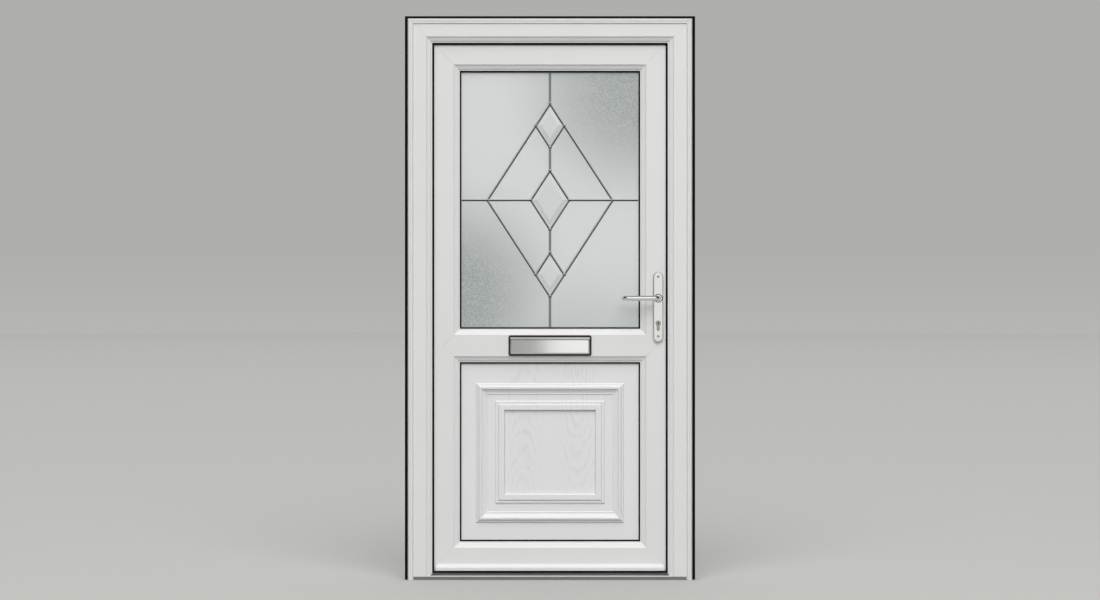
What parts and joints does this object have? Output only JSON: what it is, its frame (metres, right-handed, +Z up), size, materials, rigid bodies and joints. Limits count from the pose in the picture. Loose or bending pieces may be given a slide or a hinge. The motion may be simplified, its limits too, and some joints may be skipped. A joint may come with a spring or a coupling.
{
  "type": "front door",
  "caption": "White uPVC front door in its frame: leaded diamond light over a moulded panel, letter plate, lever handle and low threshold; the leaf swings inward.",
  "frame": {"origin": "on the floor, at the middle of the threshold plate's underside, at the frame's mid-depth", "axes": "+Z up, -Y towards the outside, +Y into the room, +X to the right seen from outside (lock side)"},
  "size_m": [1.0646, 0.186, 2.0688],
  "materials": {
    "frame_upvc": "smooth satin-gloss white uPVC",
    "sash_upvc": "smooth satin-gloss white uPVC",
    "trim_upvc": "smooth satin-gloss white uPVC",
    "panel_skin": "white thermoformed skin with a faint wood grain",
    "foam": "rigid insulating foam",
    "gasket_rubber": "matt black",
    "threshold_metal": "mill finish",
    "clear_glass": "obscure float glass",
    "bevel_glass": "polished bevelled glass",
    "spacer_bar": "mill finish",
    "lead": "dull dark lead",
    "letter_black": "satin black",
    "flap_metal": "satin silver",
    "handle_metal": "polished",
    "cylinder_metal": "nickel-tinted brass",
    "lock_steel": "zinc plated",
    "hinge_paint": "white powder coat"
  },
  "bodies": {
    "frame": {"frame_head": "frame_upvc", "frame_hinge_jamb": "frame_upvc", "frame_lock_jamb": "frame_upvc", "frame_sill": "frame_upvc", "sill_ramp": "threshold_metal", "threshold_plate": "threshold_metal", "trim_head": "trim_upvc", "trim_hinge_side": "trim_upvc", "trim_lock_side": "trim_upvc", "perimeter_seal": "gasket_rubber", "frame_gasket": "gasket_rubber", "lock_keeps": "lock_steel", "hinge_frame_leaves": "hinge_paint"},
    "leaf": {"sash_hinge_stile": "sash_upvc", "sash_lock_stile": "sash_upvc", "sash_top_rail": "sash_upvc", "sash_mid_rail": "sash_upvc", "sash_bottom_rail": "sash_upvc", "sash_gasket": "gasket_rubber", "glass_outer_pane": "clear_glass", "glass_inner_pane": "clear_glass", "glass_spacer": "spacer_bar", "lead_cames": "lead", "glass_bevels": "bevel_glass", "glass_gaskets": "gasket_rubber", "glass_beads": "sash_upvc", "panel_outer_skin": "panel_skin", "panel_core": "foam", "panel_inner_skin": "panel_skin", "panel_gaskets": "gasket_rubber", "panel_beads": "sash_upvc", "letter_plate_outer": "letter_black", "letter_plate_inner": "letter_black", "letter_sleeve": "letter_black", "handle_plate_outer": "handle_metal", "handle_plate_inner": "handle_metal", "lock_cylinder": "cylinder_metal", "lock_faceplate": "lock_steel", "weather_bar": "sash_upvc", "hinge_sash_leaves": "hinge_paint"},
    "handle": {"lever_outer": "handle_metal", "lever_inner": "handle_metal", "spindle": "lock_steel"},
    "flap": {"letter_flap": "flap_metal"}
  },
  "joints": [
    {"name": "leaf_swing", "type": "hinge", "parent": "frame", "child": "leaf", "pos_m": [-0.474, 0.05975, 0], "axis": [0, 0, 1], "range_deg": [0, 100]},
    {"name": "handle_turn", "type": "hinge", "parent": "leaf", "child": "handle", "pos_m": [0.398, -0.022, 1.034], "axis": [0, -1, 0], "range_deg": [-35, 40], "stiffness_Nm_per_rad": 1.5},
    {"name": "letter_flap_lift", "type": "hinge", "parent": "leaf", "child": "flap", "pos_m": [0, -0.0216, 0.88795], "axis": [-1, 0, 0], "range_deg": [0, 90], "stiffness_Nm_per_rad": 0.05, "springref_deg": -20.05}
  ]
}
